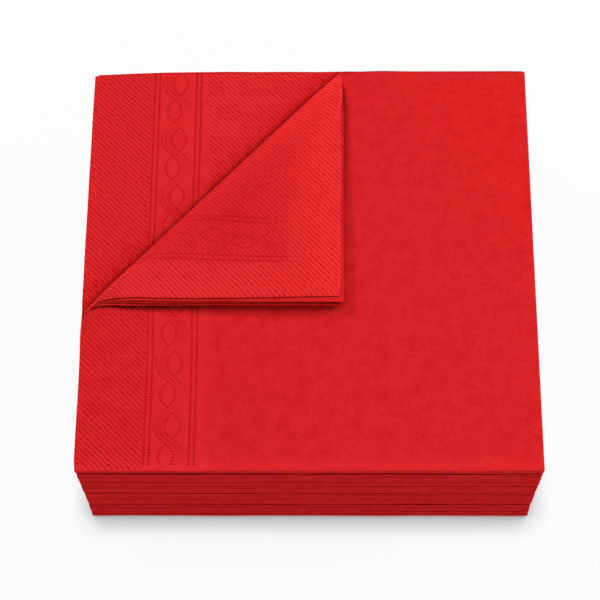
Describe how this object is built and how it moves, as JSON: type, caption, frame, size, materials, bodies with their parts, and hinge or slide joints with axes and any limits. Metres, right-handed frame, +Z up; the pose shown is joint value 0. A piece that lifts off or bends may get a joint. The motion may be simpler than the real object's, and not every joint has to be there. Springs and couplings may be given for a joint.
{
  "type": "stack of paper napkins",
  "caption": "Stack of quarter-folded red paper napkins with an embossed rope border, the top napkin's back corner turned over in a flat triangle.",
  "frame": {"origin": "centre of the stack's foot, on the surface it stands on", "axes": "+X from the cut edges at the left to the first folds at the right, +Y from the second folds at the front to the cut edges at the back, +Z up through the stack"},
  "size_m": [0.167, 0.1617, 0.0622],
  "materials": {
    "red_tissue": "matte"
  },
  "bodies": {
    "root": {"napkin_01": "red_tissue", "napkin_02": "red_tissue", "napkin_03": "red_tissue", "napkin_04": "red_tissue", "napkin_05": "red_tissue", "napkin_06": "red_tissue", "napkin_07": "red_tissue", "napkin_08": "red_tissue", "napkin_09": "red_tissue", "napkin_10": "red_tissue", "napkin_11": "red_tissue", "napkin_12": "red_tissue", "napkin_13": "red_tissue", "napkin_14": "red_tissue", "napkin_15": "red_tissue", "napkin_16": "red_tissue", "napkin_17": "red_tissue", "napkin_18": "red_tissue", "napkin_19": "red_tissue", "napkin_20": "red_tissue", "napkin_21": "red_tissue", "napkin_22": "red_tissue", "napkin_23": "red_tissue", "napkin_24": "red_tissue", "top_napkin": "red_tissue"}
  },
  "joints": []
}
